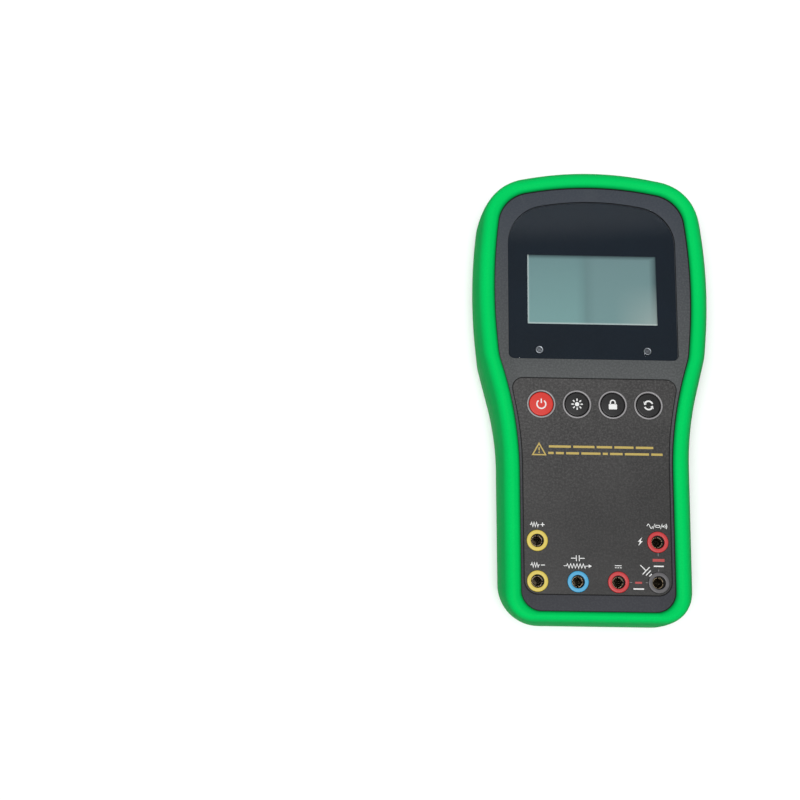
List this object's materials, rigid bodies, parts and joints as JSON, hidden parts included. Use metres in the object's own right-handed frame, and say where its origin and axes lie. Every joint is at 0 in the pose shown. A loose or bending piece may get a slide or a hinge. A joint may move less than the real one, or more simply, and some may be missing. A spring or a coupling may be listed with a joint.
{
  "type": "lcr meter",
  "caption": "Hand-held component and multimeter with a graphic display window, round press keys and 4 mm input sockets, in a thick waisted rubber boot with a back stand.",
  "frame": {"origin": "middle of the resting face, under the middle of the meter's length and width", "axes": "+Z out of the front face, +Y towards the display end, +X to the right of the display"},
  "size_m": [0.117, 0.2268, 0.043],
  "materials": {
    "boot_rubber": "satin moulded",
    "case_plastic": "fine texture",
    "window_clear": "polished",
    "window_black": "printed film",
    "steel": "plated",
    "label_film": "fine grain",
    "ring_grey": "satin",
    "key_red": "satin",
    "key_dark": "satin",
    "socket_yellow": "satin",
    "socket_blue": "satin",
    "socket_red": "satin",
    "socket_grey": "satin",
    "brass": "plated",
    "board_green": "solder mask",
    "lcd": "matt polariser",
    "backlight_white": "diffuser",
    "black_plastic": "moulded",
    "capacitor_sleeve": "shrunk sleeve",
    "fuse_glass": "clear tube",
    "copper": "drawn wire",
    "ceramic_white": "cement case",
    "battery_foil": "foil pouch",
    "socket_ivory": "moulded",
    "lead_red": "insulated wire"
  },
  "bodies": {
    "meter": {"holster": "boot_rubber", "front_cover": "case_plastic", "rear_cover": "case_plastic", "window_lens": "window_clear", "window_mask": "window_black", "window_screws": "steel", "label_panel": "label_film", "key_rings": "ring_grey", "lcr_plus_socket": "socket_yellow", "lcr_minus_socket": "socket_yellow", "discharge_socket": "socket_blue", "amp_socket": "socket_red", "com_socket": "socket_grey", "volt_socket": "socket_red", "lcr_plus_sleeve": "brass", "lcr_minus_sleeve": "brass", "discharge_sleeve": "brass", "amp_sleeve": "brass", "com_sleeve": "brass", "volt_sleeve": "brass", "main_board": "board_green", "display_board": "board_green", "lcd_glass": "lcd", "lcd_frame": "black_plastic", "backlight": "backlight_white", "display_header": "black_plastic", "tact_switches": "steel", "chips": "black_plastic", "crystal": "steel", "capacitors": "capacitor_sleeve", "buzzer": "black_plastic", "fuse_tube": "fuse_glass", "fuse_clips": "brass", "shunt_wire": "copper", "discharge_resistor": "ceramic_white", "usb_port": "steel", "battery_pack": "battery_foil", "battery_socket": "socket_ivory", "battery_leads": "lead_red", "case_screws": "steel", "board_screws": "steel", "display_screws": "steel"},
    "power_button": {"power_key": "key_red"},
    "lamp_button": {"lamp_key": "key_dark"},
    "hold_button": {"hold_key": "key_dark"},
    "mode_button": {"mode_key": "key_dark"},
    "stand": {"kickstand": "case_plastic"}
  },
  "joints": [
    {"name": "power_press", "type": "slide", "parent": "meter", "child": "power_button", "axis": [0, 0, -1], "range_m": [0, 0.0008], "stiffness_N_per_m": 300},
    {"name": "lamp_press", "type": "slide", "parent": "meter", "child": "lamp_button", "axis": [0, 0, -1], "range_m": [0, 0.0008], "stiffness_N_per_m": 300},
    {"name": "hold_press", "type": "slide", "parent": "meter", "child": "hold_button", "axis": [0, 0, -1], "range_m": [0, 0.0008], "stiffness_N_per_m": 300},
    {"name": "mode_press", "type": "slide", "parent": "meter", "child": "mode_button", "axis": [0, 0, -1], "range_m": [0, 0.0008], "stiffness_N_per_m": 300},
    {"name": "stand_hinge", "type": "hinge", "parent": "meter", "child": "stand", "pos_m": [0, 0.03, 0.0048], "axis": [1, 0, 0], "range_deg": [0, 70]}
  ]
}
